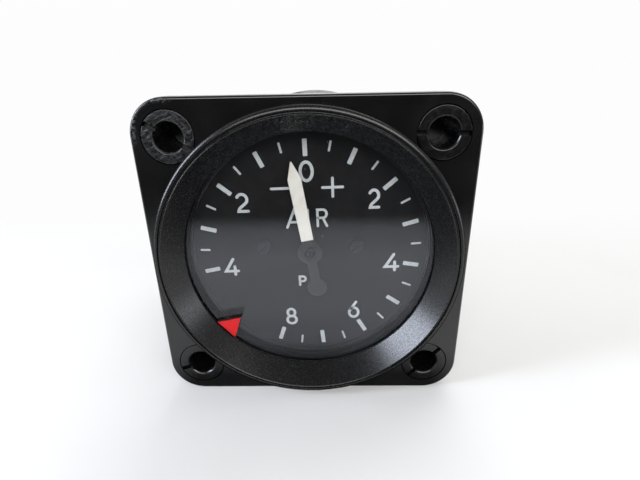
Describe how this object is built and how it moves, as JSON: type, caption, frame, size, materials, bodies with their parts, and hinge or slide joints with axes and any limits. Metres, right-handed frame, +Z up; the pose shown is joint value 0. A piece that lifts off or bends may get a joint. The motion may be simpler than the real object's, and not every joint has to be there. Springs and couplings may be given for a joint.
{
  "type": "aircraft pressure gauge",
  "caption": "Round pressure gauge on a square flange, with a deep bezel, a white pointer over a black scale, and a capsule and sector movement in a closed barrel case.",
  "frame": {"origin": "centre of the flange's front face, on the dial axis", "axes": "+Y along the dial axis from the flange's front face back into the case, +Z up and +X to the right as the dial is read"},
  "size_m": [0.0604, 0.0838, 0.0604],
  "materials": {
    "case_black": "moulded gloss black phenolic",
    "insert_black": "black finish on turned metal",
    "bezel_black": "satin black anodised",
    "seal_rubber": "matte",
    "clear_glass": "polished",
    "spacer_black": "matte black",
    "marker_red": "satin red paint",
    "dial_black": "matte black paint with white marks",
    "screw_black": "blackened",
    "pointer_white": "matte white paint, black on the disc and tail",
    "hub_black": "black paint",
    "movement_brass": "fine turned and milled",
    "spring_bronze": "rolled strip",
    "capsule_alloy": "pressed sheet",
    "turned_steel": "turned and polished",
    "cover_black": "cast, black paint",
    "gasket_fibre": "pressed fibre",
    "union_brass": "turned"
  },
  "bodies": {
    "case": {"back_plate": "movement_brass", "bezel_ring": "bezel_black", "bracket_screw_1": "turned_steel", "bracket_screw_2": "turned_steel", "capsule_neck": "capsule_alloy", "capsule_stem": "union_brass", "case_body": "case_black", "cover_glass": "clear_glass", "cover_screw_1": "turned_steel", "cover_screw_2": "turned_steel", "cover_screw_3": "turned_steel", "cover_screw_4": "turned_steel", "dial_pillar_left": "movement_brass", "dial_pillar_right": "movement_brass", "dial_plate": "dial_black", "dial_screw_left": "screw_black", "dial_screw_right": "screw_black", "front_capsule": "capsule_alloy", "front_plate": "movement_brass", "glass_seal": "seal_rubber", "hairspring": "spring_bronze", "hairspring_stud": "turned_steel", "limit_marker": "marker_red", "mount_insert_bottom_left": "insert_black", "mount_insert_bottom_right": "insert_black", "mount_insert_top_left": "insert_black", "mount_insert_top_right": "insert_black", "movement_post_1": "movement_brass", "movement_post_2": "movement_brass", "movement_post_3": "movement_brass", "plate_pillar_1": "movement_brass", "plate_pillar_2": "movement_brass", "plate_pillar_3": "movement_brass", "plate_screw_1": "turned_steel", "plate_screw_2": "turned_steel", "plate_screw_3": "turned_steel", "post_screw_1": "turned_steel", "post_screw_2": "turned_steel", "post_screw_3": "turned_steel", "pressure_union": "union_brass", "rear_capsule": "capsule_alloy", "rear_cover": "cover_black", "rear_gasket": "gasket_fibre", "rocking_bracket": "movement_brass", "spacer_ring": "spacer_black", "union_washer": "gasket_fibre", "vent_plug": "union_brass"},
    "pointer": {"pointer": "pointer_white", "pointer_hub": "hub_black", "pinion_staff": "turned_steel", "hairspring_collet": "movement_brass"},
    "sector": {"sector_gear": "movement_brass", "sector_arbor": "turned_steel"},
    "rocker": {"rocking_shaft": "turned_steel", "link_arm": "movement_brass", "contact_arm": "turned_steel"},
    "link": {"capsule_link": "movement_brass"},
    "capsule_head": {"capsule_post": "turned_steel"}
  },
  "joints": [
    {"name": "pointer_turn", "type": "hinge", "parent": "case", "child": "pointer", "pos_m": [0, 0.004, 0], "axis": [0, 1, 0], "range_deg": [-91.7, 208.2], "stiffness_Nm_per_rad": 0.0005, "deforming": ["hairspring"]},
    {"name": "sector_turn", "type": "hinge", "parent": "case", "child": "sector", "pos_m": [-0.01417, 0.014, -0.005], "axis": [0, 1, 0], "range_deg": [-23.2, 10.3]},
    {"name": "rocking_turn", "type": "hinge", "parent": "case", "child": "rocker", "pos_m": [0, 0.025, -0.005], "axis": [1, 0, 0], "range_deg": [-4.7, 10.5]},
    {"name": "link_swing", "type": "hinge", "parent": "rocker", "child": "link", "pos_m": [0, 0.025, 0], "axis": [1, 0, 0], "range_deg": [-10.5, 4.7]},
    {"name": "capsule_travel", "type": "slide", "parent": "case", "child": "capsule_head", "axis": [0, -1, 0], "range_m": [-0.0004, 0.00091], "deforming": ["front_capsule", "rear_capsule"]}
  ],
  "couplings": [
    {"joint": "pointer_turn", "follows": "capsule_travel", "rad_per_m": 3996},
    {"joint": "sector_turn", "follows": "capsule_travel", "rad_per_m": -444},
    {"joint": "rocking_turn", "follows": "capsule_travel", "rad_per_m": 200},
    {"joint": "link_swing", "follows": "capsule_travel", "rad_per_m": -200}
  ]
}
